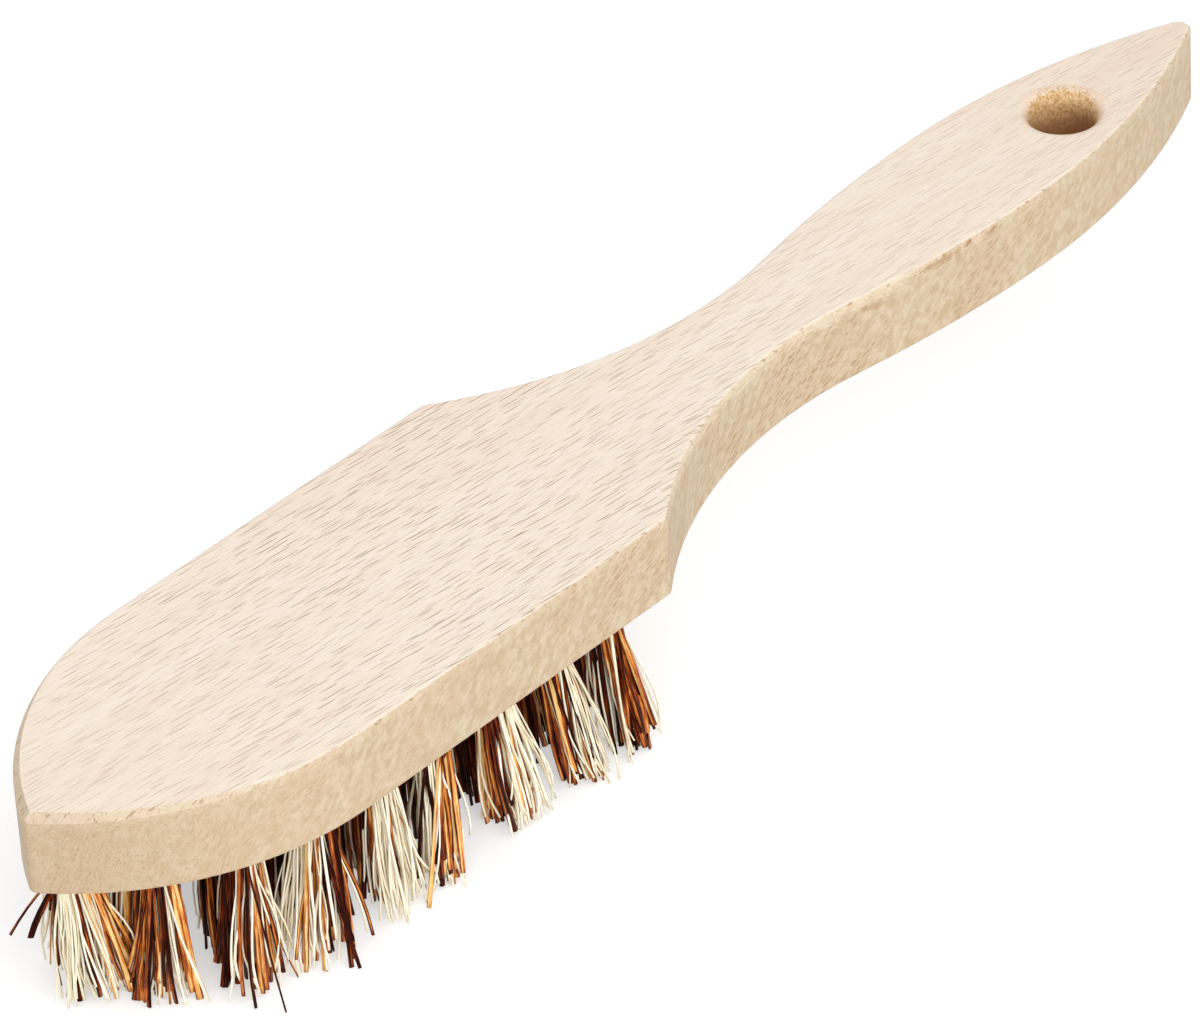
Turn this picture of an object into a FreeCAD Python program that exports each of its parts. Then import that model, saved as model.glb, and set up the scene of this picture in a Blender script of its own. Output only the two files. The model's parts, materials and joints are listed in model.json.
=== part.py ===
import FreeCAD, Part
import math
import os

# Scrub brush: a flat beech board, head and handle in one piece, with rows of stiff plant-fibre
# tufts. Each tuft is folded over a wire staple and seated in a blind hole in the board's underside.
# Millimetres, +Z up. The tuft ends lie on z = 0 and X runs from the nose to the handle's tip, with
# x = 0 at half the length. The board is symmetric about y = 0.

# Board: lengths along X, from each station to the next
head_length = 116.3  # nose to the shoulder corners
neck_offset = 50.6  # shoulder corners to the narrowest place
grip_offset = 57.5  # narrowest place to the widest place of the grip
tail_length = 55.6  # widest place of the grip to the tip
nose_length = 46.3  # nose to where the sides of the head run straight

# Board: widths, thickness and corners
head_width = 52.0
neck_width = 17.7
grip_width = 27.9
board_thickness = 14.8
edge_round = 0.8  # rounding all along the top and bottom edges
nose_ease = 0.6  # corner radius left on the flat faces, inside the rounded edge
shoulder_ease = 0.4
tip_ease = 1.4
nose_bevel = 1.3  # sanded bevel on the nose's top edge, which fades out towards the sides

# Hang hole, through the grip
hang_diameter = 11.4
hang_from_tip = 34.8
hang_offset = -1.2  # drilled a little off the centre line
hang_rim_round = 2.1

# Tuft holes
tuft_hole_diameter = 6.0
tuft_hole_floor = 6.4  # wood left between a tuft hole and the top face
outer_steps = 8  # equal steps from the nose to the last tuft, along each side
middle_steps = 7
centre_steps = 5
edge_inset = 7.0  # outer row to the side of the head
rear_inset = 9.1  # last tuft of the outer row to the shoulder corners
middle_row_lead = 1.7  # how much further back the middle row ends
centre_row_start = 20.1  # first tuft of the middle row to the first of the centre row

# Fibre tufts
free_length = 25.0  # board's underside to the trimmed ends
side_splay = 2.7  # sideways lean of the outer row, at the trimmed ends
rear_splay = 3.0  # backward lean of the last tufts, at the trimmed ends
splay_power = 4  # the backward lean grows towards the rear with this power of the way
tip_gap = 0.8  # least gap between the spread ends of two tufts
pleat_count = 13
pleat_share = 0.2  # depth of a pleat, as a share of the tuft's radius
root_clearance = 0.05

# Wire staples
staple_wire = 0.8
staple_edge = 1.2  # centre of a leg to the wall of the tuft hole
staple_bend = 0.9  # bend radius at the wire's centre
fold_depth = 2.4  # crown's centre to the end of the tuft hole
leg_cover = 3.0  # wood left between the legs and the top face
wire_clearance = 0.03

# Derived stations and levels
board_length = head_length + neck_offset + grip_offset + tail_length
nose_x = -board_length / 2
shoulder_x = nose_x + head_length
neck_x = shoulder_x + neck_offset
grip_x = neck_x + grip_offset
tip_x = grip_x + tail_length
side_x = nose_x + nose_length
underside_z = free_length
top_z = underside_z + board_thickness
hole_end_z = top_z - tuft_hole_floor
leg_end_z = top_z - leg_cover
crown_z = hole_end_z - fold_depth

half_head = head_width / 2
half_neck = neck_width / 2
half_grip = grip_width / 2
nose_radius = nose_ease + edge_round
shoulder_radius = shoulder_ease + edge_round
tip_radius = tip_ease + edge_round
hole_radius = tuft_hole_diameter / 2
root_radius = hole_radius - root_clearance
wire_radius = staple_wire / 2
half_staple = hole_radius - staple_edge

# Arc that rounds each side of the nose, tangent to the side and to the nose's own small corner
nose_reach = nose_length - nose_radius
nose_arc = (nose_reach**2 + half_head**2 - nose_radius**2) / (2 * (half_head - nose_radius))
nose_arc_y = half_head - nose_arc

UP = FreeCAD.Vector(0, 0, 1)
TINY = 1e-6


def point(x, y, z=0.0):
    return FreeCAD.Vector(x, y, z)


def arc(centre, radius, start, end):
    """Arc in the XY plane between two angles, counter-clockwise."""
    return Part.ArcOfCircle(Part.Circle(centre, UP, radius), start, end).toShape()


def heading(centre, target):
    return math.atan2(target.y - centre.y, target.x - centre.x)


def half_outline():
    """Edges of the board's outline on the +Y side, from the nose to the tip."""
    nose_centre = point(nose_x + nose_radius, 0)
    side_centre = point(side_x, nose_arc_y)
    nose_angle = heading(side_centre, nose_centre)

    drop = half_head - half_neck
    sweep_radius = (neck_offset**2 + drop**2) / (2 * drop)
    sweep_centre = point(neck_x, half_neck + sweep_radius)

    corner_y = half_head - shoulder_radius
    reach = sweep_radius + shoulder_radius
    corner_x = neck_x - math.sqrt(reach**2 - (sweep_centre.y - corner_y) ** 2)
    corner_centre = point(corner_x, corner_y)
    corner_angle = heading(corner_centre, sweep_centre)

    swell = half_grip - half_neck
    grip_radius = (grip_offset**2 / swell + swell) / 2 - sweep_radius
    grip_centre = point(grip_x, half_grip - grip_radius)
    turn_angle = heading(grip_centre, sweep_centre)

    tail_reach = tail_length - tip_radius
    tail_radius = (tail_reach**2 + half_grip**2 - tip_radius**2) / (2 * (half_grip - tip_radius))
    tail_centre = point(grip_x, half_grip - tail_radius)
    tip_centre = point(tip_x - tip_radius, 0)
    tip_angle = heading(tail_centre, tip_centre)

    upright = math.pi / 2
    return [
        arc(nose_centre, nose_radius, nose_angle, math.pi),
        arc(side_centre, nose_arc, upright, nose_angle),
        Part.makeLine(point(side_x, half_head), point(corner_x, half_head)),
        arc(corner_centre, shoulder_radius, corner_angle, upright),
        arc(sweep_centre, sweep_radius, corner_angle + math.pi, turn_angle + math.pi),
        arc(grip_centre, grip_radius, upright, turn_angle),
        arc(tail_centre, tail_radius, tip_angle, upright),
        arc(tip_centre, tip_radius, 0, tip_angle),
    ]


def outline_face():
    """The board's whole outline, on its underside."""
    side = half_outline()
    other = [edge.mirror(point(0, 0), point(0, 1)) for edge in side]
    wire = Part.Wire(Part.__sortEdges__(side + other))
    wire.translate(point(0, 0, underside_z))
    return Part.Face(wire)


def bevelled_nose(board):
    """The board with its nose's top edge bevelled: a 45 degree cone to each side of y = 0.

    The cones stand behind the centres of the nose arcs, so they cut deepest at the nose.
    """
    nose_angle = heading(point(side_x, nose_arc_y), point(nose_x + nose_radius, 0))
    setback = -nose_bevel / math.cos(nose_angle)
    reach = 2 * nose_bevel  # how far the cutter goes above and below the top face
    foot = point(side_x + setback, nose_arc_y, top_z - reach)
    cone = Part.makeCone(nose_arc + reach, nose_arc - reach, 2 * reach, foot)
    corner = point(nose_x - reach, 0, top_z - reach)
    block = Part.makeBox(nose_length + reach, half_head + reach, 2 * reach, corner)
    shaving = block.cut(cone)
    return board.cut([shaving, shaving.mirror(point(0, 0), point(0, 1))])


def level_edges(shape, keep=lambda edge: True):
    """Edges that lie flat in the top face or the underside."""
    flat = [edge for edge in shape.Edges if edge.BoundBox.ZLength < TINY]
    return [edge for edge in flat if keep(edge)]


def is_hang_rim(edge):
    curve = edge.Curve
    return isinstance(curve, Part.Circle) and abs(curve.Radius - hang_diameter / 2) < TINY


def row_points(inset, rear_x, steps):
    """Places of one row that follows the outline: (x, y, share of the way to the rear)."""
    radius = nose_arc - inset
    start = math.pi - math.asin(-nose_arc_y / radius)
    bend = radius * (start - math.pi / 2)
    length = bend + rear_x - side_x
    places = []
    for step in range(steps + 1):
        along = length * step / steps
        if along < bend:
            angle = start - along / radius
            x = side_x + radius * math.cos(angle)
            y = nose_arc_y + radius * math.sin(angle)
        else:
            x = side_x + along - bend
            y = half_head - inset
        places.append((x, max(y, 0.0), step / steps))
    return places


def centre_points(start_x, rear_x, steps):
    """Places of the straight row on the centre line."""
    length = rear_x - start_x
    return [(start_x + length * step / steps, 0.0, step / steps) for step in range(steps + 1)]


def tuft_places():
    """Node name, root and trimmed end of every tuft, as {name: (root, tip)}."""
    rear_x = shoulder_x - rear_inset
    row_gap = (half_head - edge_inset) / 2
    middle = row_points(edge_inset + row_gap, rear_x + middle_row_lead, middle_steps)
    rows = {
        "outer": row_points(edge_inset, rear_x, outer_steps),
        "middle": middle,
        "centre": centre_points(middle[0][0] + centre_row_start, rear_x, centre_steps),
    }
    places = {}
    for row, points in rows.items():
        for number, (x, y, share) in enumerate(points):
            lean_x = rear_splay * share**splay_power
            lean_y = side_splay * y / (half_head - edge_inset)
            for side, sign in (("left", 1), ("right", -1)) if y > TINY else (("mid", 1),):
                root = point(x, sign * y)
                tip = point(x + lean_x, sign * (y + lean_y))
                places[f"tuft_{row}_{number}_{side}"] = (root, tip)
    return places


def spread_radius(places):
    """Radius of the trimmed ends: the tufts spread until they nearly meet."""
    tips = [tip for root, tip in places.values()]
    pairs = ((a, b) for i, a in enumerate(tips) for b in tips[:i])
    return (min(a.distanceToPoint(b) for a, b in pairs) - tip_gap) / 2


def pleated_wire(centre, z, radius):
    """Round section with pleats: ridges and valleys, as strands of fibre bunch together."""
    valley = radius * (1 - pleat_share)
    corners = []
    for pleat in range(pleat_count):
        for reach, turn in ((radius, pleat), (valley, pleat + 0.5)):
            angle = 2 * math.pi * turn / pleat_count
            across = point(reach * math.cos(angle), reach * math.sin(angle), z)
            corners.append(centre + across)
    return Part.makePolygon(corners + corners[:1])


def staple_tube(radius, leg_end):
    """U of round wire with its crown across the fold and its legs up, at x = y = 0."""
    foot = crown_z + staple_bend
    inner = half_staple - staple_bend
    slant = staple_bend * math.cos(math.pi / 4)
    path = [
        Part.makeLine(point(-half_staple, 0, leg_end), point(-half_staple, 0, foot)),
        Part.Arc(
            point(-half_staple, 0, foot),
            point(-inner - slant, 0, foot - slant),
            point(-inner, 0, crown_z),
        ).toShape(),
        Part.makeLine(point(-inner, 0, crown_z), point(inner, 0, crown_z)),
        Part.Arc(
            point(inner, 0, crown_z),
            point(inner + slant, 0, foot - slant),
            point(half_staple, 0, foot),
        ).toShape(),
        Part.makeLine(point(half_staple, 0, foot), point(half_staple, 0, leg_end)),
    ]
    section = Part.Wire(Part.makeCircle(radius, point(-half_staple, 0, leg_end), UP))
    return Part.Wire(path).makePipeShell([section], True, False)


def tuft_root():
    """The folded end that fills a tuft hole, with the channel its staple runs in."""
    end_z = hole_end_z - root_clearance
    plug = Part.makeCylinder(root_radius, end_z - underside_z, point(0, 0, underside_z))
    return plug.cut(staple_tube(wire_radius + wire_clearance, leg_end_z))


def tuft(root_shape, root, tip, spread):
    """One tuft: the folded root and the strands that spread from it."""
    ends = [pleated_wire(tip, 0.0, spread), pleated_wire(root, underside_z, root_radius)]
    strands = Part.makeLoft(ends, True, True)
    return root_shape.translated(root).fuse(strands)


def tuft_pocket(root):
    """Cutters for one tuft: its blind hole and the two stabs that the staple's legs make."""
    hole = Part.makeCylinder(hole_radius, hole_end_z - underside_z, root + UP * underside_z)
    stab_radius = wire_radius + wire_clearance
    stab_length = leg_end_z + wire_clearance - hole_end_z
    stabs = [
        Part.makeCylinder(stab_radius, stab_length, root + point(x, 0, hole_end_z))
        for x in (-half_staple, half_staple)
    ]
    return [hole] + stabs


def handle_block(places):
    """The board: rounded outline, hang hole and tuft holes."""
    board = outline_face().extrude(UP * board_thickness)
    board = bevelled_nose(board.makeFillet(edge_round, level_edges(board)))
    hang_foot = point(tip_x - hang_from_tip, hang_offset, underside_z)
    board = board.cut(Part.makeCylinder(hang_diameter / 2, board_thickness, hang_foot))
    board = board.makeFillet(hang_rim_round, level_edges(board, is_hang_rim))
    cutters = [cutter for root, tip in places.values() for cutter in tuft_pocket(root)]
    return board.cut(cutters)


def main():
    os.makedirs("parts", exist_ok=True)
    places = tuft_places()
    tip_spread = spread_radius(places)
    root_shape = tuft_root()
    staple = staple_tube(wire_radius, leg_end_z)

    nodes = {name: tuft(root_shape, *ends, tip_spread) for name, ends in places.items()}
    nodes["handle_block"] = handle_block(places)
    nodes["anchor_staples"] = Part.makeCompound(
        [staple.translated(root) for root, tip in places.values()]
    )
    for name, shape in nodes.items():
        shape.exportStep(f"parts/{name}.step")
        print(name, shape.isValid(), len(shape.Solids), round(shape.Volume, 1))
    print("tufts", len(places), "spread radius", round(tip_spread, 2))


main()
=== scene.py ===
import json
import math
import random

import bpy
from mathutils import Matrix, Vector


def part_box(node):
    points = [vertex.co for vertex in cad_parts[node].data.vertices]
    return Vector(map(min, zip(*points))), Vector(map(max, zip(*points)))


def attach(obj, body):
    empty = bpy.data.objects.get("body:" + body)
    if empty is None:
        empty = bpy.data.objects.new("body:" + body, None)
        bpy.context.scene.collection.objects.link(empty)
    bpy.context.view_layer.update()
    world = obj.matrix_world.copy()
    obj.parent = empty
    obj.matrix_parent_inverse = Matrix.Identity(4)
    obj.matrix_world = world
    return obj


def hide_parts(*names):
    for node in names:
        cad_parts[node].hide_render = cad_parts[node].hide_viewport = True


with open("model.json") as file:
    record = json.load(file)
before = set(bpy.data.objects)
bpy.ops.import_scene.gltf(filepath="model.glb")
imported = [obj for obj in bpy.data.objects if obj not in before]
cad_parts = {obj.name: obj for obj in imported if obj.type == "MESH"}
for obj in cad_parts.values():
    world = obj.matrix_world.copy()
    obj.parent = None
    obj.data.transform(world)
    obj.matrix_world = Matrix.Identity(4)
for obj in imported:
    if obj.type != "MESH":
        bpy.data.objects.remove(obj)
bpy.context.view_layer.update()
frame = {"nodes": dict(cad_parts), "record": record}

# Scrub brush: a sanded beech board with a hang hole, and tufts of stiff plant fibre under its head.
# Metres, in the frame of the solids. The tuft ends stand on the floor at z = 0.

MM = 0.001
PER_MM = (1 / MM, 1 / MM, 1 / MM)

# Camera, at the photograph's viewing angle
CAMERA_AZIMUTH = math.radians(-46.51)
CAMERA_ELEVATION = math.radians(35.226)
CAMERA_ROLL = math.radians(-3.447)
CAMERA_DISTANCE = 1247.09 * MM
CAMERA_TARGET_X = -28.795 * MM
CAMERA_TARGET_Y = -16.463 * MM
CAMERA_NEAR = 0.05
CAMERA_FAR = 50.0
IMAGE_WIDTH = 1200
FOCAL_PIXELS = 7991.6
SENSOR_WIDTH = 36.0

# Floor and light: places and sizes in metres, powers in watts
FLOOR_HALF = 6.0
FLOOR_GLOW = 0.5
SKY_STRENGTH = 0.82
KEY_PLACE = (-0.42, -0.89, 1.26)
KEY_SIZE = 1.9
KEY_POWER = 14.0
LOW_PLACE = (-0.75, -1.35, 0.3)
LOW_SIZE = 1.0
LOW_POWER = 7.5

# The board, from the frame
BOARD_LOW, BOARD_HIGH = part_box("handle_block")
UNDERSIDE = BOARD_LOW.z
TOP = BOARD_HIGH.z
HOLE_MOUNT = next(m for m in frame["record"]["mounts"] if m["name"] == "hang_hole")
HANG_HOLE = Vector(HOLE_MOUNT["pos_m"])
HOLE_RADIUS = HOLE_MOUNT["dims"]["r_mm"] * MM

# Faces of the board: grain and rays, in mm. A ray is a dash in a cell of its own.
GRAIN_TURN = math.radians(4.8)
GRAIN_WANDER = 2.4
RAY = {"cell": (6.4, 0.8), "half_length": 2.8, "half_width": 0.1}
FINE_RAY = {"cell": (4.2, 0.6), "half_length": 1.7, "half_width": 0.07}
FINE_RAY_STRENGTH = 0.45
RAYS_RISE = (-140.0, -50.0)  # stretches along X where the rays grow stronger and fade again
RAYS_FADE = (-20.0, 60.0)
TIP_TINT = (60.0, 140.0)  # stretch along X where the faces grow a little darker

# Sides of the board: streaks, pores and the worn upper edge, painted lighter as a highlight where it
# rounds over
SIDE_LEAN = math.radians(52.0)
SIDE_WRAP = 0.7  # share of y that counts as length, so that a pattern runs on where the sides curve
PORE = {"cell": (2.0, 0.75), "half_length": 0.9, "half_width": 0.16}
PORE_LEAN = math.radians(27.0)
END_PORE = {"cell": (3.0, 0.75), "half_length": 1.35, "half_width": 0.16}
END_PORE_LEAN = math.radians(62.0)
PORES_RISE = (-75 * MM, -10 * MM)  # stretches along X where pores grow more common and rarer again
PORES_FADE = (40 * MM, 110 * MM)
# The worn edge is also a painted highlight: a lighter band that stands in for light on the rounded-over
# edge.
WORN_HIGHLIGHT_RISE = (-27 * MM, -14 * MM)  # stretches along X where the worn edge comes up and fades again
WORN_HIGHLIGHT_FADE = (40 * MM, 90 * MM)
WORN_HIGHLIGHT_DROP = (3.0 * MM, 0.5 * MM)  # below the top, where the worn edge starts and where it is full
WORN_HIGHLIGHT_FRAY = 1.0 * MM

# Stains along the grip's near edge: place along X, drop below the top, half length and half height in
# mm, and depth of colour
STAINS = (
    (44.4, 2.6, 4.5, 1.2, 0.5),
    (58.8, 1.1, 6.5, 1.2, 0.7),
    (60.2, 0.5, 0.6, 0.5, 0.9),
    (65.9, 0.7, 1.0, 0.8, 0.95),
    (71.5, 1.1, 2.2, 1.0, 0.75),
)

# Hang hole, whose wall has painted shade lower down and towards one side
TEAR_WAY = (0.8, 0.6, 0.0)  # where the bit tore the rim most
# The darker side of the wall is painted shade, not a scorch.
SHADE_WAY = (0.7, -0.7, 0.0)  # where it scorched the wall
RIM_REACH = (3.2 * MM, 2.2 * MM)  # past the bore, where the rim's colour starts and where it is full
# Painted shade in the bore: depths at which it starts and is full, lower down and on the shaded side
BORE_SHADE_DEPTHS = (1.5 * MM, 8.0 * MM)  # depths below the top
SIDE_SHADE_DEPTHS = (1.5 * MM, 5.0 * MM)

# Relief of the surfaces
WOOD_RELIEF = 0.12 * MM
FIBRE_RELIEF = 0.08 * MM
WIRE_RELIEF = 0.02 * MM

# Tufts
ROOT_SEAT = 3.0 * MM  # how far a fibre reaches into its hole
ROOT_MARGIN = 0.5 * MM  # kept free inside the hole's wall
SITES = 60  # places in a tuft, for one thick fibre or three thin ones each
THIN_PER_SITE = 3
SITE_TURN = 0.25  # unevenness of the places, as an angle and as a share of the tuft's radius
SITE_SHIFT = 0.07
CREAM_SORTING = 0.65  # unevenness with which cream fibres lie to one side, and dark ones
DARK_SORTING = 1.0
CREAM_SCATTER = 1.3 * MM  # scatter of the trimmed ends
BROWN_SCATTER = 0.7 * MM
LOCKS = 5  # bunches of a tuft that bend alike
LOCK_BEND = 0.9 * MM
TRIM_NOISE = 1.1  # mm
SHORT_CHANCE = 0.3  # fibres that are cut short, and by how much in mm
SHORT_BY = (0.5, 5.0)
ANY_SPREAD = (0.85, 1.1)
GOLDEN_ANGLE = math.pi * (3 - math.sqrt(5))
LEVEL = 0.01 * MM

# Loose fibres that cross the front of an outer tuft
CROSSERS = 7
CROSSER_ROOT_OUT = (0.3, 0.8)  # place of the root, as shares of the hole's radius
CROSSER_ROOT_ALONG = (-0.5, 0.5)
CROSSER_TIP_SPREAD = 0.7  # how far out the end is, as a share of the tuft's spread
CROSSER_TIP_OUT = (-1.0, 1.5)  # unevenness of that, and how far the end is to either side, in mm
CROSSER_TIP_ALONG = (1.0, 7.5)
CROSSER_BROWN = 0.25  # share of them that are brown
THIN_BROWN = 0.5  # width of a loose brown fibre, as a share of a thick one's

# Thin cream fibres: half width and bow in mm, thickness as a share of the width, and the section's form
CREAM_HALF_WIDTH = (0.15, 0.25)
CREAM_FLATNESS = (0.75, 1.0)
CREAM_BULGE = (0.95, 1.05)
CREAM_SIDES = 5
CREAM_STEPS = 10
CREAM_BOW = 1.2
CREAM_TONE = (0.3, 0.9)

# Thick brown fibres, alike: the half width's least, most and most common value
BROWN_HALF_WIDTH = (0.3, 0.8, 0.46)
BROWN_FLATNESS = (0.4, 0.75)
BROWN_BULGE = (0.84, 1.12)
BROWN_SIDES = 6
BROWN_STEPS = 7
BROWN_BOW = 0.5
BROWN_TONE_NOISE = 0.1

# All fibres: twist, and swelling along their length
TWIST = 0.5
SWELL = 0.12
SWELL_TURN = 7
SKIN_GAP = 97  # sets each fibre's streaks apart from the others'

# Thick fibres are near-black, red-brown, orange or ochre
TONES = (0.1, 0.4, 0.64, 0.86)

# Mixes: share of the places that hold thin cream fibres, and the chances of the thick fibres' tones
MIXES = {
    "pale": (0.54, (0.28, 0.38, 0.3, 0.04)),
    "mixed": (0.46, (0.32, 0.34, 0.26, 0.08)),
    "brown": (0.3, (0.25, 0.42, 0.27, 0.06)),
    "orange": (0.26, (0.18, 0.32, 0.36, 0.14)),
    "bare": (0.16, (0.16, 0.4, 0.34, 0.1)),
    "dark": (0.26, (0.38, 0.4, 0.2, 0.02)),
}
ANY_MIX = ("pale", "mixed", "mixed", "brown", "brown", "orange", "dark")
INNER_MIX = ("brown", "brown", "dark")

# Tufts along the near edge: the mix, the ways that the cream fibres and the dark ones lie (in degrees
# from +X), the spread as a share of the solid's, and how far the ends lean along X and Y, in mm
NEAR_TUFTS = {
    "tuft_outer_0_mid": ("mixed", 135, 90, 0.8, 3.2, -0.4),
    "tuft_outer_1_right": ("orange", -20, 160, 1.2, 0.2, 2.4),
    "tuft_outer_2_right": ("bare", -45, 150, 1.0, -2.5, 1.0),
    "tuft_outer_3_right": ("mixed", 135, -45, 1.1, -2.0, 0.6),
    "tuft_outer_4_right": ("pale", -45, 135, 0.8, -1.2, 0.9),
    "tuft_outer_5_right": ("orange", 135, -135, 0.6, -4.8, -1.4),
    "tuft_outer_6_right": ("brown", -45, -30, 0.75, 0.0, -0.6),
    "tuft_outer_7_right": ("dark", -45, 135, 0.75, 0.6, -0.6),
    "tuft_outer_8_right": ("dark", 60, 150, 0.75, -3.8, -2.2),
    "tuft_middle_0_mid": ("brown", -90, 90, 1.1, -4.5, -3.0),
}

# Tufts of the second row on the near side, which show between the near ones: a dark mix, with the dark
# fibres on the near side and the cream ones turned away, partly painted shade
SHADED_TUFT = ("dark", 45, -135, 1.0, 0.0, 0.0)

# Ends of the loose brown strays, in mm, and their width as a share of a thick fibre's
STRAYS = {
    "tuft_outer_0_mid": (
        (-139.8, 6.3, 14.0, 0.5),
        (-137.4, 4.4, 13.0, 0.8),
        (-134.3, 2.9, 17.0, 0.6),
    ),
    "tuft_outer_2_right": ((-116.0, -27.4, 0.6, 0.5),),
    "tuft_outer_3_right": ((-101.2, -29.0, 0.6, 0.5),),
}
STRAY_TONE = 0.1
STRAY_ROOT = 0.4  # scatter of their roots, as a share of the hole's radius


def srgb(red, green, blue):
    """A colour given from 0 to 255, as a linear colour."""

    def linear(value):
        share = value / 255
        return share / 12.92 if share <= 0.04045 else ((share + 0.055) / 1.055) ** 2.4

    return (linear(red), linear(green), linear(blue), 1.0)


# Wood colours
FACE_CREAM = srgb(231, 219, 204)
FACE_PINK = srgb(229, 213, 196)
FACE_LINE = srgb(218, 199, 180)
FACE_RAY = srgb(140, 112, 88)
SIDE_LIGHT = srgb(197, 180, 154)
SIDE_TAN = srgb(181, 159, 128)
SIDE_ROSE = srgb(190, 165, 136)
# Lighter band at the worn upper edge, partly a painted highlight
SIDE_WORN_HIGHLIGHT = srgb(215, 197, 172)
SIDE_END = srgb(179, 155, 125)
SIDE_PORE = srgb(142, 106, 68)
SIDE_STAIN = srgb(156, 118, 78)
EDGE_NICK = srgb(150, 108, 68)
RIM_PINK = srgb(226, 198, 174)
BORE_GOLD = srgb(220, 188, 142)
BORE_BROWN = srgb(182, 139, 88)
# Painted shade on the bore's wall
BORE_SHADE = srgb(124, 72, 24)

# Fibre colours, each at its place from the darkest shade to the lightest
BROWN_SHADES = (
    (0.0, srgb(30, 8, 5)),
    (0.22, srgb(70, 20, 8)),
    (0.42, srgb(124, 49, 16)),
    (0.62, srgb(190, 100, 34)),
    (0.82, srgb(230, 160, 76)),
    (1.0, srgb(244, 206, 138)),
)
CREAM_SHADES = (
    (0.0, srgb(200, 184, 144)),
    (0.45, srgb(240, 229, 202)),
    (1.0, srgb(252, 246, 228)),
)
FIBRE_END_DARK = srgb(44, 24, 16)

# Wire, floor and light
WIRE_DARK = srgb(168, 168, 172)
WIRE_LIGHT = srgb(196, 196, 199)
FLOOR_GREY = srgb(194, 194, 194)
WHITE = (1.0, 1.0, 1.0, 1.0)


class Tree:
    """Builds one material's nodes. An input is a number, a vector, a colour or a node's output."""

    def __init__(self, name):
        self.material = bpy.data.materials.new(name)
        self.material.use_nodes = True
        self.nodes = self.material.node_tree.nodes
        self.links = self.material.node_tree.links
        self.nodes.clear()

    def node(self, kind, inputs, **settings):
        made = self.nodes.new("ShaderNode" + kind)
        for key, value in settings.items():
            setattr(made, key, value)
        for key, value in inputs.items():
            if isinstance(value, bpy.types.NodeSocket):
                self.links.new(value, made.inputs[key])
            else:
                made.inputs[key].default_value = value
        return made

    def math(self, operation, first, second=0.0, third=0.0):
        return self.node("Math", {0: first, 1: second, 2: third}, operation=operation).outputs[0]

    def product(self, first, *factors):
        for factor in factors:
            first = self.math("MULTIPLY", first, factor)
        return first

    def between(self, share, first, second):
        """Number between two others."""
        return self.node("Mix", {0: share, 2: first, 3: second}).outputs[0]

    def vector(self, operation, first, second):
        return self.node("VectorMath", {0: first, 1: second}, operation=operation).outputs[0]

    def dot(self, first, second):
        return self.node("VectorMath", {0: first, 1: second}, operation="DOT_PRODUCT").outputs["Value"]

    def length(self, vector):
        return self.node("VectorMath", {0: vector}, operation="LENGTH").outputs["Value"]

    def split(self, vector):
        return self.node("SeparateXYZ", {0: vector}).outputs

    def flat(self, x, y):
        """Vector with z = 0."""
        return self.node("CombineXYZ", {0: x, 1: y}).outputs[0]

    def stretched(self, point, x, y, z):
        """Coordinates in which one unit is x, y and z long."""
        return self.vector("DIVIDE", point, (x, y, z))

    def turned(self, point, y=0.0, z=0.0):
        """Coordinates in mm, turned about Y and Z."""
        inputs = {"Vector": point, "Rotation": (0.0, y, z), "Scale": PER_MM}
        return self.node("Mapping", inputs).outputs[0]

    def noise(self, point, detail=2.0, roughness=0.5):
        inputs = {"Vector": point, "Scale": 1.0, "Detail": detail, "Roughness": roughness}
        return self.node("TexNoise", inputs).outputs[0]

    def ramp(self, value, start, end, low=0.0, high=1.0):
        """Smooth step of a value, from low at start to high at end."""
        inputs = {"Value": value, "From Min": start, "From Max": end, "To Min": low, "To Max": high}
        return self.node("MapRange", inputs, interpolation_type="SMOOTHSTEP").outputs[0]

    def mix(self, share, first, second):
        """Colour between two others."""
        return self.node("Mix", {0: share, 6: first, 7: second}, data_type="RGBA").outputs[2]

    def colours(self, value, stops):
        """Colour ramp through (place, colour) stops."""
        made = self.node("ValToRGB", {0: value})
        elements = made.color_ramp.elements
        while len(elements) < len(stops):
            elements.new(1.0)
        for element, (place, colour) in zip(elements, stops):
            element.position = place
            element.color = colour
        return made.outputs[0]

    def bump(self, height, strength, distance):
        inputs = {"Height": height, "Strength": strength, "Distance": distance}
        return self.node("Bump", inputs).outputs[0]

    def surface(self, inputs):
        shader = self.node("BsdfPrincipled", inputs)
        output = self.node("OutputMaterial", {})
        self.links.new(shader.outputs[0], output.inputs["Surface"])
        return self.material


def flecks(tree, point, cell, half_length, half_width):
    """Short dashes along the grain, laid like bricks, one in each cell. Point and sizes in mm."""
    x, y = tree.split(tree.stretched(point, *cell, 1.0))[:2]
    at = tree.flat(tree.math("MULTIPLY_ADD", y, 0.5, x), y)
    inputs = {"Vector": at, "Scale": 1.0, "Randomness": 0.8}
    cells = tree.node("TexVoronoi", inputs, voronoi_dimensions="2D").outputs
    chance = tree.split(cells["Color"])
    offset = tree.split(tree.vector("SUBTRACT", at, cells["Position"]))
    stretch = tree.math("MULTIPLY_ADD", chance[1], 0.9, 0.55)
    along = tree.math("DIVIDE", tree.product(offset[0], cell[0] / half_length), stretch)
    across = tree.product(offset[1], cell[1] / half_width)
    distance = tree.length(tree.flat(along, across))
    return tree.product(tree.ramp(distance, 1.0, 0.6), tree.ramp(chance[0], 0.0, 0.8, 0.1, 0.85))


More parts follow.
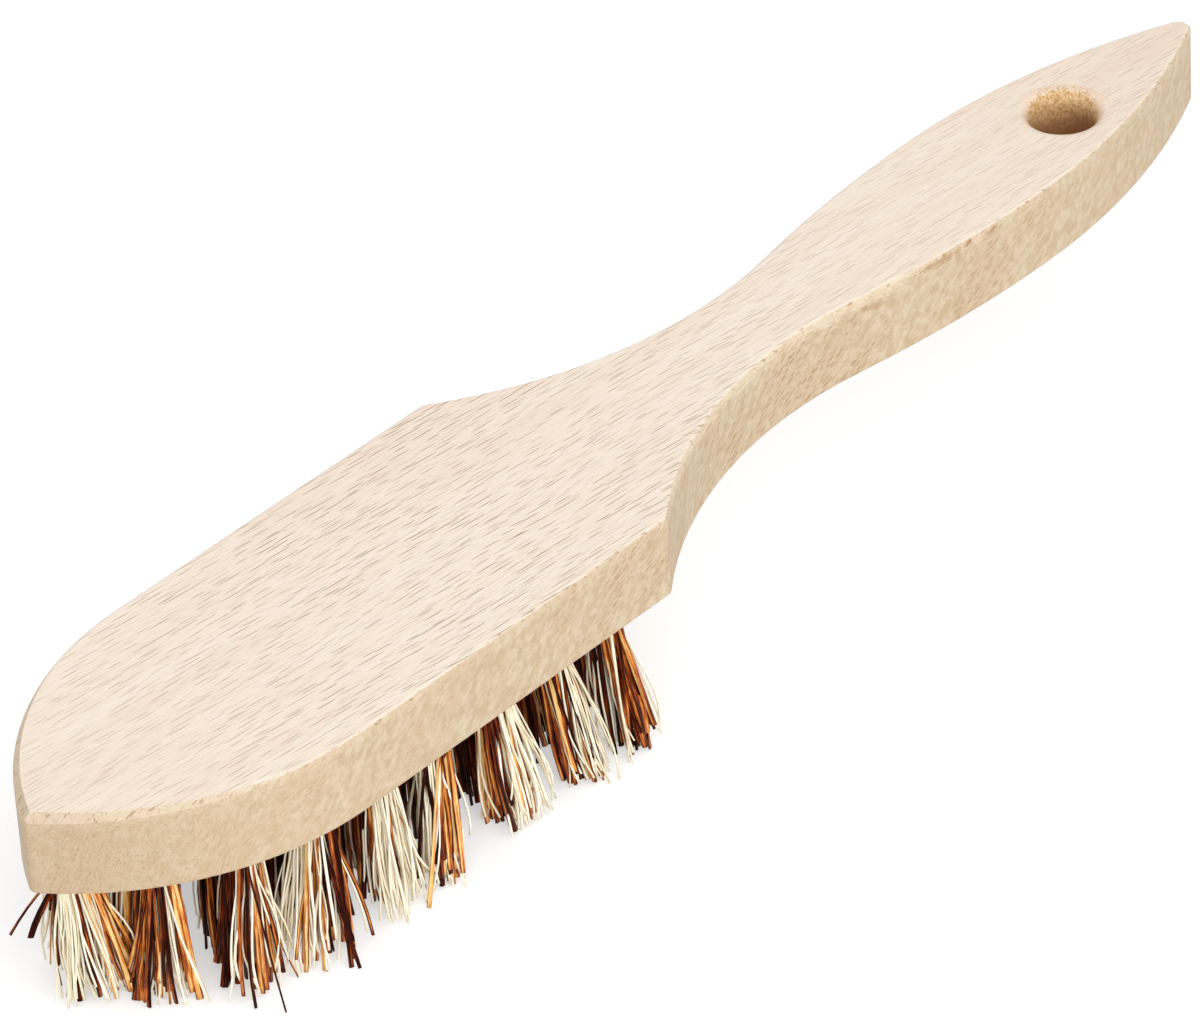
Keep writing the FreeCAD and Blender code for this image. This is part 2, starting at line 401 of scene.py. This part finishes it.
def board_face(tree, grain):
    """Cream face with fine fibre lines and brown rays along the grain: its colour and its relief."""
    wander = tree.noise(tree.stretched(grain, 45.0, 14.0, 30.0), detail=1.0)
    grain = tree.vector("ADD", grain, tree.flat(0.0, tree.product(wander, GRAIN_WANDER)))
    along = tree.split(grain)[0]
    bands = tree.noise(tree.stretched(grain, 90.0, 5.0, 14.0), detail=3.0)
    lines = tree.noise(tree.stretched(grain, 9.0, 0.2, 0.6), detail=3.0, roughness=0.6)
    patch = tree.noise(tree.stretched(grain, 60.0, 11.0, 30.0))
    coarse = flecks(tree, grain, **RAY)
    fine = flecks(tree, grain, **FINE_RAY)
    rays = tree.product(
        tree.math("MAXIMUM", coarse, tree.product(fine, FINE_RAY_STRENGTH)),
        tree.ramp(patch, 0.3, 0.62, 0.75, 1.0),
        tree.ramp(along, *RAYS_RISE, 0.55, 1.1),
        tree.ramp(along, *RAYS_FADE, 1.0, 0.55),
    )

    colour = tree.mix(tree.ramp(bands, 0.36, 0.64), FACE_CREAM, FACE_PINK)
    colour = tree.mix(tree.ramp(lines, 0.38, 0.7, 0.0, 0.55), colour, FACE_LINE)
    colour = tree.mix(tree.ramp(along, *TIP_TINT, 0.0, 0.4), colour, FACE_LINE)
    colour = tree.mix(rays, colour, FACE_RAY)
    relief = tree.math("SUBTRACT", tree.product(lines, 0.5), tree.product(rays, 0.5))
    return colour, relief


def side_pores(tree, place, end_grain):
    """Short dark pores that lean, and lean more on end grain."""
    x, y, z = tree.split(place)
    run = tree.math("MULTIPLY_ADD", tree.math("ABSOLUTE", y), SIDE_WRAP, x)
    sheet = tree.flat(run, z)
    leaning = flecks(tree, tree.turned(sheet, z=-PORE_LEAN), **PORE)
    steep = flecks(tree, tree.turned(sheet, z=-END_PORE_LEAN), **END_PORE)
    return tree.between(tree.ramp(end_grain, 0.05, 0.45), leaning, steep)


def stained(tree, place, colour):
    """A colour, with the stains along the grip's near edge on it."""
    near = tree.ramp(tree.split(place)[1], 0.0, -MM)
    scuff = tree.noise(tree.stretched(place, 1.1 * MM, 1.0 * MM, 0.4 * MM), detail=3.0, roughness=0.65)
    for along, drop, half_length, half_height, depth in STAINS:
        centre = (along * MM, 0.0, TOP - drop * MM)
        offset = tree.vector("SUBTRACT", place, centre)
        spread = tree.stretched(offset, half_length * MM, 1.0, half_height * MM)
        worn = tree.math("ADD", tree.length(spread), tree.ramp(scuff, 0.3, 0.7, 0.5, -0.4))
        stain = tree.product(tree.ramp(worn, 1.1, 0.1), near, depth)
        colour = tree.mix(stain, colour, SIDE_STAIN)
    return colour


def board_side(tree, place, end_grain):
    """Tan sides, clouded and mottled, with pores and a worn edge that is partly a painted highlight:
    their colour and their relief.
    """
    parts = tree.split(place)
    x = parts[0]
    z = parts[2]
    lean = tree.turned(place, y=SIDE_LEAN)
    cloud = tree.noise(tree.stretched(lean, 16.0, 9.0, 7.0))
    mottle = tree.noise(tree.stretched(lean, 2.0, 1.5, 1.4), detail=3.0, roughness=0.6)
    grit = tree.noise(tree.stretched(lean, 0.45, 0.3, 0.3))
    plenty = tree.product(
        tree.ramp(x, *PORES_RISE, 0.35, 1.0),
        tree.ramp(x, *PORES_FADE, 1.0, 0.3),
        tree.ramp(cloud, 0.38, 0.62, 0.2, 1.0),
    )
    pores = tree.product(side_pores(tree, place, end_grain), plenty)
    speckle = tree.product(tree.ramp(grit, 0.48, 0.78), tree.ramp(end_grain, 0.0, 1.0, 0.2, 0.5))

    fray = tree.noise(tree.stretched(place, 4.0 * MM, 0.7 * MM, 0.5 * MM))
    drop = tree.math("SUBTRACT", TOP, z)
    drop = tree.math("ADD", drop, tree.ramp(fray, 0.3, 0.7, -WORN_HIGHLIGHT_FRAY, WORN_HIGHLIGHT_FRAY))
    # Worn upper edge, painted lighter: partly the sanded rounding's own colour, partly a painted
    # highlight
    worn = tree.product(
        tree.ramp(drop, *WORN_HIGHLIGHT_DROP),
        tree.ramp(grit, 0.35, 0.6, 0.9, 0.5),
        tree.ramp(x, *WORN_HIGHLIGHT_RISE, 0.3, 1.0),
        tree.ramp(x, *WORN_HIGHLIGHT_FADE, 1.0, 0.3),
    )

    colour = tree.mix(tree.ramp(mottle, 0.33, 0.67), SIDE_LIGHT, SIDE_TAN)
    colour = tree.mix(tree.ramp(cloud, 0.42, 0.66, 0.0, 0.6), colour, SIDE_ROSE)
    colour = tree.mix(tree.product(end_grain, 0.6), colour, SIDE_END)
    colour = tree.mix(speckle, colour, SIDE_PORE)
    colour = tree.mix(pores, colour, SIDE_PORE)
    colour = tree.mix(worn, colour, SIDE_WORN_HIGHLIGHT)
    colour = stained(tree, place, colour)
    relief = tree.math("SUBTRACT", tree.product(grit, 0.4), tree.product(pores, 0.3))
    return colour, tree.math("MULTIPLY_ADD", mottle, -2.0, relief)


def hang_hole(tree, place, level):
    """Bored wall of the hang hole, golden and grainy, with painted shade lower down and on one side:
    mask, colour and relief.
    """
    offset = tree.vector("SUBTRACT", place, (HANG_HOLE.x, HANG_HOLE.y, TOP))
    reach = tree.length(tree.vector("MULTIPLY", offset, (1.0, 1.0, 0.0)))
    depth = tree.product(tree.split(offset)[2], -1.0)
    near = tree.ramp(reach, *(HOLE_RADIUS + past for past in RIM_REACH))
    grains = tree.stretched(place, 0.45 * MM, 0.45 * MM, 0.7 * MM)
    torn = tree.noise(grains, detail=3.0, roughness=0.6)
    tear_side = tree.math("DIVIDE", tree.dot(offset, TEAR_WAY), reach)
    shaded_side = tree.math("DIVIDE", tree.dot(offset, SHADE_WAY), reach)

    slope = tree.math("ADD", level, tree.ramp(torn, 0.3, 0.7, -0.12, 0.12))
    slope = tree.math("SUBTRACT", slope, tree.ramp(tear_side, 0.1, 0.95, 0.0, 0.52))
    rim = tree.product(near, tree.ramp(slope, 1.0, 0.8, 0.0, 0.6))
    wall = tree.product(near, tree.ramp(slope, 0.66, 0.26))
    # Painted shade on one side of the wall, deeper down
    side_shade = tree.product(
        tree.ramp(shaded_side, -0.2, 0.8, 0.0, 0.6),
        tree.ramp(depth, *SIDE_SHADE_DEPTHS),
    )
    colour = tree.mix(tree.ramp(torn, 0.34, 0.64), BORE_BROWN, BORE_GOLD)
    # Painted shade, darker lower down in the hole
    colour = tree.mix(tree.ramp(depth, *BORE_SHADE_DEPTHS, 0.0, 0.85), colour, BORE_SHADE)
    colour = tree.mix(side_shade, colour, BORE_SHADE)
    colour = tree.mix(wall, RIM_PINK, colour)
    return tree.math("MAXIMUM", wall, rim), colour, tree.product(torn, 1.8)


def beech():
    """Sanded beech: cream faces with brown rays, tan sides, worn edges partly painted lighter as
    highlights, and the hang hole's wall.
    """
    tree = Tree("beech")
    coordinates = tree.node("TexCoord", {}).outputs
    place = coordinates["Object"]
    normal = tree.split(coordinates["Normal"])
    grain = tree.turned(place, z=GRAIN_TURN)
    level = tree.math("ABSOLUTE", normal[2])
    end_grain = tree.ramp(tree.math("ABSOLUTE", normal[0]), 0.15, 0.85)

    face, face_relief = board_face(tree, grain)
    side, side_relief = board_side(tree, place, end_grain)
    upright = tree.ramp(level, 0.99, 0.58)
    colour = tree.mix(upright, face, side)

    edge = tree.product(tree.ramp(level, 0.05, 0.4), tree.ramp(level, 0.99, 0.9))
    chips = tree.noise(tree.stretched(grain, 1.6, 0.55, 1.2), roughness=0.6)
    nick = tree.product(edge, tree.ramp(chips, 0.58, 0.7))
    colour = tree.mix(tree.product(nick, 0.65), colour, EDGE_NICK)

    mask, wall, wall_relief = hang_hole(tree, place, level)
    colour = tree.mix(mask, colour, wall)

    relief = tree.between(upright, face_relief, side_relief)
    relief = tree.math("SUBTRACT", relief, tree.product(nick, 1.5))
    relief = tree.math("MULTIPLY_ADD", mask, wall_relief, relief)
    return tree.surface(
        {
            "Base Color": colour,
            "Roughness": tree.ramp(face_relief, -0.3, 0.5, 0.66, 0.52),
            "Specular IOR Level": 0.3,
            "Normal": tree.bump(relief, 0.35, WOOD_RELIEF),
        }
    )


def plant_fibre():
    """Stiff fibre: near-black to ochre thick strands and cream thin ones, streaked lengthwise, with
    painted shade along their edges and painted highlights along their middles and streaks.
    """
    tree = Tree("plant_fibre")
    strand_facts = tree.node("Attribute", {}, attribute_name="strand").outputs["Vector"]
    tone, cream, along = tree.split(strand_facts)
    skin = tree.node("Attribute", {}, attribute_name="skin").outputs["Vector"]
    # Lengthwise streaks: partly the fibre's own colour, partly painted highlights
    streak_and_highlight = tree.noise(tree.stretched(skin, 0.22, 8.0, 1.0), detail=3.0, roughness=0.6)
    blotch = tree.noise(tree.stretched(skin, 1.0, 2.5, 1.0))
    # Painted shade along each strand's edges and a painted highlight along its middle
    edge_shade_and_highlight = tree.math("PINGPONG", tree.split(skin)[0], 0.5)

    shade = tree.math("ADD", tone, tree.ramp(streak_and_highlight, 0.3, 0.7, -0.32, 0.32))
    shade = tree.math("ADD", shade, tree.ramp(blotch, 0.3, 0.7, -0.08, 0.08))
    shade = tree.math("ADD", shade, tree.ramp(edge_shade_and_highlight, 0.0, 0.42, -0.3, 0.12))
    brown = tree.colours(shade, BROWN_SHADES)
    # Darker towards each brown fibre's end
    end_dark = tree.ramp(along, 0.95, 1.0, 0.0, 0.4)
    colour = tree.mix(cream, tree.mix(end_dark, brown, FIBRE_END_DARK), tree.colours(shade, CREAM_SHADES))
    return tree.surface(
        {
            "Base Color": colour,
            "Roughness": tree.ramp(blotch, 0.2, 0.8, 0.34, 0.52),
            "Specular IOR Level": tree.ramp(tone, 0.1, 0.7, 0.04, 0.25),
            "Normal": tree.bump(streak_and_highlight, 0.4, FIBRE_RELIEF),
        }
    )


def drawn_steel():
    """Drawn wire, with fine lines along it."""
    tree = Tree("drawn_steel")
    place = tree.node("TexCoord", {}).outputs["Object"]
    lines = tree.noise(tree.stretched(place, 0.1 * MM, 0.1 * MM, 2.0 * MM))
    return tree.surface(
        {
            "Base Color": tree.mix(tree.ramp(lines, 0.3, 0.7), WIRE_DARK, WIRE_LIGHT),
            "Metallic": 1.0,
            "Roughness": tree.ramp(lines, 0.3, 0.7, 0.28, 0.45),
            "Normal": tree.bump(lines, 0.2, WIRE_RELIEF),
        }
    )


class Bundle:
    """Collects the closed tubes of one tuft into a mesh."""

    def __init__(self):
        self.corners = []
        self.faces = []
        self.smooth = []
        self.strands = []
        self.skins = []

    def tube(self, path, section, tone, cream, seed):
        """Tube along a path of points. Section gives each ring's (across, thick) offsets."""
        first = len(self.corners)
        sides = len(section(0))
        last = len(path) - 1
        for step, centre in enumerate(path):
            ahead = path[min(step + 1, last)] - path[max(step - 1, 0)]
            across = Vector((1.0, 0.0, 0.0)).cross(ahead).normalized()
            thick = ahead.normalized().cross(across)
            for side, (u, v) in enumerate(section(step / last)):
                corner = centre + across * u + thick * v
                corner.z = max(corner.z, 0.0)
                self.corners.append(corner)
                self.strands.append((tone, cream, step / last))
                around = abs(2 * side / sides - 1)
                self.skins.append((around, (path[0].z - centre.z) / MM, SKIN_GAP * seed))
        for step in range(last):
            low = first + step * sides
            high = low + sides
            for side in range(sides):
                other = (side + 1) % sides
                self.faces.append((low + side, low + other, high + other, high + side))
        end = first + last * sides
        self.smooth += [cream > 0.5] * (last * sides)
        self.faces.append(tuple(range(first + sides - 1, first - 1, -1)))
        self.faces.append(tuple(range(end, end + sides)))
        self.smooth += [False, False]

    def piece(self, name, material):
        mesh = bpy.data.meshes.new(name)
        mesh.from_pydata(self.corners, [], self.faces)
        for title, values in (("strand", self.strands), ("skin", self.skins)):
            layer = mesh.attributes.new(title, "FLOAT_VECTOR", "POINT")
            layer.data.foreach_set("vector", [number for value in values for number in value])
        mesh.polygons.foreach_set("use_smooth", self.smooth)
        mesh.materials.append(material)
        mesh.update()
        made = bpy.data.objects.new(name, mesh)
        bpy.context.scene.collection.objects.link(made)
        return made


def ring(half_width, half_thickness, turn, twist, bulges, swell):
    """Section of a strand: an uneven flat ring, which turns and swells along the strand."""
    sides = len(bulges)

    def at(share):
        angle = turn + twist * share
        size = 1 + SWELL * math.sin(swell + SWELL_TURN * share)
        points = []
        for side, bulge in enumerate(bulges):
            around = 2 * math.pi * side / sides
            u = half_width * size * bulge * math.cos(around)
            v = half_thickness * size * bulge * math.sin(around)
            points.append(
                (u * math.cos(angle) - v * math.sin(angle), u * math.sin(angle) + v * math.cos(angle))
            )
        return points

    return at


def flat_gauss(rng, size):
    return Vector((rng.gauss(0, size), rng.gauss(0, size), 0.0))


def strand(bundle, rng, start, end, tone=None, slim=1.0):
    """One fibre from its root to its trimmed end: a thick one of a tone, or a thin cream one."""
    cream = tone is None
    if cream:
        half_width = rng.uniform(*CREAM_HALF_WIDTH) * MM
        flatness = rng.uniform(*CREAM_FLATNESS)
        bulges = [rng.uniform(*CREAM_BULGE) for side in range(CREAM_SIDES)]
        steps = CREAM_STEPS
        bow = CREAM_BOW * MM
        tone = rng.uniform(*CREAM_TONE)
    else:
        half_width = slim * rng.triangular(*BROWN_HALF_WIDTH) * MM
        flatness = rng.uniform(*BROWN_FLATNESS)
        bulges = [rng.uniform(*BROWN_BULGE) for side in range(BROWN_SIDES)]
        steps = BROWN_STEPS
        bow = BROWN_BOW * MM
        tone = min(max(tone + rng.gauss(0, BROWN_TONE_NOISE), 0.0), 1.0)
    sway = flat_gauss(rng, bow)
    curl = flat_gauss(rng, bow / 2)
    path = []
    for step in range(steps + 1):
        share = step / steps
        bend = sway * math.sin(math.pi * share) + curl * math.sin(2 * math.pi * share)
        path.append(start.lerp(end, share) + bend * share)
    section = ring(
        half_width,
        half_width * flatness,
        rng.uniform(0, math.pi),
        rng.gauss(0, TWIST),
        bulges,
        rng.uniform(0, 2 * math.pi),
    )
    bundle.tube(path, section, tone, 1.0 if cream else 0.0, rng.random())


def trim(rng):
    """Height at which a fibre ends: most of them near the floor, some cut short."""
    short = rng.uniform(*SHORT_BY) if rng.random() < SHORT_CHANCE else 0.0
    return (abs(rng.gauss(0, TRIM_NOISE)) + short) * MM


def tuft_ends(node):
    """Centre and radius of a tuft's root and of its trimmed end, from its solid."""
    corners = [v.co.copy() for v in frame["nodes"][node].data.vertices]
    ends = []
    for group in (
        [c for c in corners if c.z > UNDERSIDE + LEVEL],
        [c for c in corners if c.z < LEVEL],
    ):
        xs = [c.x for c in group]
        ys = [c.y for c in group]
        middle = Vector(((min(xs) + max(xs)) / 2, (min(ys) + max(ys)) / 2, 0.0))
        radius = max((c - middle).xy.length for c in group)
        ends.append((middle, radius))
    return ends


# The field of tufts
TUFTS = sorted(name for name in frame["nodes"] if name.startswith("tuft_"))
TIPS = [tuft_ends(name)[1][0] for name in TUFTS]
HEAD_MIDDLE = (min(tip.x for tip in TIPS) + max(tip.x for tip in TIPS)) / 2
HEAD_HALF_LENGTH = max(tip.x for tip in TIPS) - HEAD_MIDDLE
HEAD_HALF_WIDTH = max(tip.y for tip in TIPS)


def outward(tip):
    """Level direction away from the head, at a tuft on its rim."""
    x = (tip.x - HEAD_MIDDLE) / HEAD_HALF_LENGTH**2
    y = tip.y / HEAD_HALF_WIDTH**2
    return Vector((x, y, 0.0)).normalized()


def level_way(degrees):
    return Vector((math.cos(math.radians(degrees)), math.sin(math.radians(degrees)), 0.0))


def make_up(node, rng):
    """A tuft's mix, the ways of its cream and dark fibres, its spread and its lean."""
    if node in NEAR_TUFTS:
        return NEAR_TUFTS[node]
    if node.startswith("tuft_middle") and node.endswith("right"):
        return SHADED_TUFT
    choice = ANY_MIX if "outer" in node else INNER_MIX
    cream_angle = rng.uniform(-180, 180)
    dark_angle = rng.uniform(-180, 180)
    return rng.choice(choice), cream_angle, dark_angle, rng.uniform(*ANY_SPREAD), 0.0, 0.0


def tuft_sites(rng, mix, cream_angle, dark_angle):
    """Places across a tuft as (place, angle, tone): cream to one side, dark to another, intermixed."""
    cream_share, chances = MIXES[mix]
    places = []
    for number in range(SITES):
        reach = math.sqrt((number + 0.5) / SITES)
        angle = GOLDEN_ANGLE * number + rng.gauss(0, SITE_TURN)
        places.append((reach * level_way(math.degrees(angle)), angle))
    cream_way = level_way(cream_angle)
    places.sort(key=lambda entry: entry[0].dot(cream_way) + rng.gauss(0, CREAM_SORTING))
    thick_count = round(SITES * (1 - cream_share))
    thick, thin = places[:thick_count], places[thick_count:]
    dark_way = level_way(dark_angle)
    thick.sort(key=lambda entry: rng.gauss(0, DARK_SORTING) - entry[0].dot(dark_way))
    tones = sorted(rng.choices(TONES, chances, k=thick_count))
    return [(*entry, tone) for entry, tone in zip(thick, tones)] + [(*entry, None) for entry in thin]


def tuft(node, material):
    """One tuft as separate fibres that replace its solid."""
    rng = random.Random(node)
    (root, root_radius), (tip, tip_radius) = tuft_ends(node)
    mix, cream_angle, dark_angle, fullness, lean_x, lean_y = make_up(node, rng)
    tip = tip + Vector((lean_x, lean_y, 0.0)) * MM
    spread = tip_radius * fullness
    locks = [flat_gauss(rng, LOCK_BEND) for lock in range(LOCKS)]
    lift = Vector((0.0, 0.0, UNDERSIDE + ROOT_SEAT))
    hold = root_radius - ROOT_MARGIN
    bundle = Bundle()

    for site, angle, tone in tuft_sites(rng, mix, cream_angle, dark_angle):
        lock = locks[int(angle % (2 * math.pi) / (2 * math.pi) * LOCKS)]
        scatter = CREAM_SCATTER if tone is None else BROWN_SCATTER
        for copy in range(THIN_PER_SITE if tone is None else 1):
            spot = site + flat_gauss(rng, SITE_SHIFT)
            end = tip + spot * spread + lock + flat_gauss(rng, scatter)
            end.z = trim(rng)
            strand(bundle, rng, root + spot * hold + lift, end, tone)

    if "outer" in node:
        away = outward(tip)
        along = Vector((-away.y, away.x, 0.0))
        for number in range(CROSSERS):
            seat = away * rng.uniform(*CROSSER_ROOT_OUT) + along * rng.uniform(*CROSSER_ROOT_ALONG)
            end = tip + away * (CROSSER_TIP_SPREAD * spread + rng.uniform(*CROSSER_TIP_OUT) * MM)
            end += along * rng.choice((-1, 1)) * rng.uniform(*CROSSER_TIP_ALONG) * MM
            end.z = trim(rng)
            tone = rng.choice(TONES) if rng.random() < CROSSER_BROWN else None
            strand(bundle, rng, root + seat * hold + lift, end, tone, THIN_BROWN)
    for *place, slim in STRAYS.get(node, ()):
        start = root + flat_gauss(rng, STRAY_ROOT) * hold + lift
        strand(bundle, rng, start, Vector(place) * MM, STRAY_TONE, slim)

    made = bundle.piece(node.replace("tuft", "fibres"), material)
    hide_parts(node)
    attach(made, "root")


def dress(node, material):
    """Gives a solid its finish."""
    piece = frame["nodes"][node]
    piece.data.materials.clear()
    piece.data.materials.append(material)


def floor():
    """Plain pale floor under the brush."""
    half = FLOOR_HALF
    mesh = bpy.data.meshes.new("floor")
    corners = [(-half, -half, 0), (half, -half, 0), (half, half, 0), (-half, half, 0)]
    mesh.from_pydata(corners, [], [(0, 1, 2, 3)])
    paint = {"Base Color": FLOOR_GREY, "Roughness": 0.85, "Specular IOR Level": 0.2}
    glow = {"Emission Color": WHITE, "Emission Strength": FLOOR_GLOW}
    mesh.materials.append(Tree("pale_floor").surface({**paint, **glow}))
    made = bpy.data.objects.new("floor", mesh)
    bpy.context.scene.collection.objects.link(made)


def camera():
    """Camera that looks at a point of the board's top, rolled a little."""
    away = math.cos(CAMERA_ELEVATION)
    back = Vector(
        (
            math.sin(CAMERA_AZIMUTH) * away,
            -math.cos(CAMERA_AZIMUTH) * away,
            math.sin(CAMERA_ELEVATION),
        )
    )
    level = Vector((0.0, 0.0, 1.0)).cross(back).normalized()
    upright = back.cross(level)
    right = level * math.cos(CAMERA_ROLL) + upright * math.sin(CAMERA_ROLL)
    up = upright * math.cos(CAMERA_ROLL) - level * math.sin(CAMERA_ROLL)
    target = Vector((CAMERA_TARGET_X, CAMERA_TARGET_Y, TOP))
    turn = Matrix((right, up, back)).transposed().to_4x4()
    data = bpy.data.cameras.new("camera")
    data.sensor_width = SENSOR_WIDTH
    data.lens = SENSOR_WIDTH * FOCAL_PIXELS / IMAGE_WIDTH
    data.clip_start = CAMERA_NEAR
    data.clip_end = CAMERA_FAR
    made = bpy.data.objects.new("camera", data)
    made.matrix_world = Matrix.Translation(target + back * CAMERA_DISTANCE) @ turn
    bpy.context.scene.collection.objects.link(made)
    bpy.context.scene.camera = made


def area_light(name, place, size, power):
    """Round soft light that faces the origin."""
    data = bpy.data.lights.new(name, "AREA")
    data.shape = "DISK"
    data.size = size
    data.energy = power
    made = bpy.data.objects.new(name, data)
    made.location = place
    made.rotation_mode = "QUATERNION"
    made.rotation_quaternion = (-Vector(place)).to_track_quat("-Z", "Y")
    bpy.context.scene.collection.objects.link(made)


def lights():
    """White surroundings and two soft lights."""
    world = bpy.data.worlds.new("studio")
    world.use_nodes = True
    background = world.node_tree.nodes["Background"]
    background.inputs["Color"].default_value = WHITE
    background.inputs["Strength"].default_value = SKY_STRENGTH
    bpy.context.scene.world = world
    area_light("key_softbox", KEY_PLACE, KEY_SIZE, KEY_POWER)
    area_light("low_softbox", LOW_PLACE, LOW_SIZE, LOW_POWER)
    bpy.context.scene.view_settings.view_transform = "Standard"


fibre = plant_fibre()
for name in TUFTS:
    tuft(name, fibre)
dress("handle_block", beech())
dress("anchor_staples", drawn_steel())
floor()
camera()
lights()
